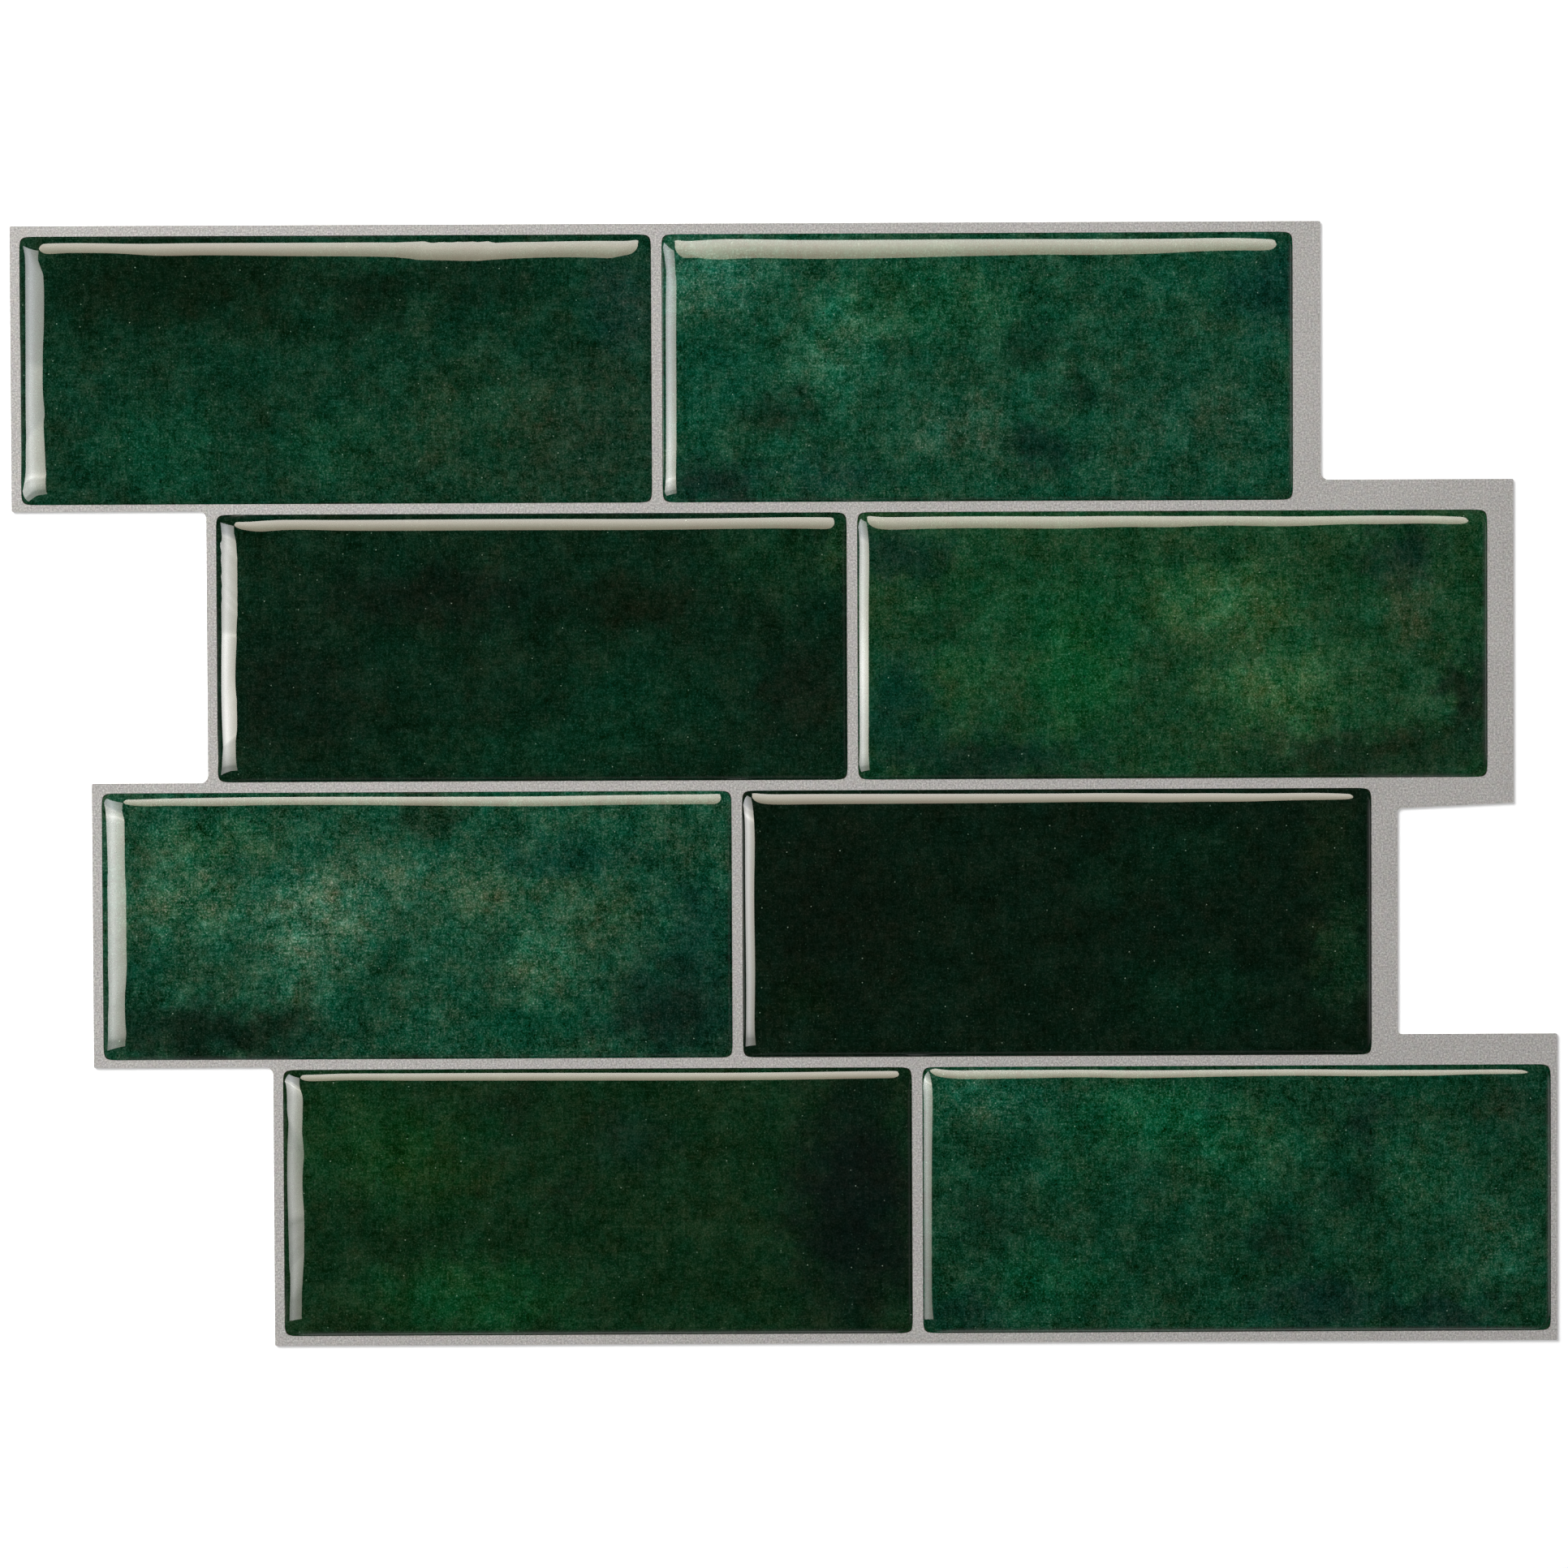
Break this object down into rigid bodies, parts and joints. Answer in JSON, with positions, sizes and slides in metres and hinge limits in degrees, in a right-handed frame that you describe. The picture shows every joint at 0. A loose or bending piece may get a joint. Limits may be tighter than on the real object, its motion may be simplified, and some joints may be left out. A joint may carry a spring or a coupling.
{
  "type": "peel and stick backsplash tile",
  "caption": "Flat self-adhesive backsplash sheet: glossy green gel subway tiles in stepped rows on a grey film, with a peel-off liner.",
  "frame": {"origin": "under the middle of the sheet's bounding box, on the floor that the liner lies on", "axes": "+X along the rows, towards the overlap flaps; +Y from the lowest row to the highest; +Z out of the gel tiles"},
  "size_m": [0.2934, 0.2132, 0.0022],
  "materials": {
    "liner_paper": "satin",
    "grey_film": "matte",
    "printed_gel_row_1_left": "gloss",
    "printed_gel_row_1_right": "gloss",
    "printed_gel_row_2_left": "gloss",
    "printed_gel_row_2_right": "gloss",
    "printed_gel_row_3_left": "gloss",
    "printed_gel_row_3_right": "gloss",
    "printed_gel_row_4_left": "gloss",
    "printed_gel_row_4_right": "gloss"
  },
  "bodies": {
    "root": {"release_liner": "liner_paper", "backing_film": "grey_film", "gel_tile_row_1_left": "printed_gel_row_1_left", "gel_tile_row_1_right": "printed_gel_row_1_right", "gel_tile_row_2_left": "printed_gel_row_2_left", "gel_tile_row_2_right": "printed_gel_row_2_right", "gel_tile_row_3_left": "printed_gel_row_3_left", "gel_tile_row_3_right": "printed_gel_row_3_right", "gel_tile_row_4_left": "printed_gel_row_4_left", "gel_tile_row_4_right": "printed_gel_row_4_right"}
  },
  "joints": []
}
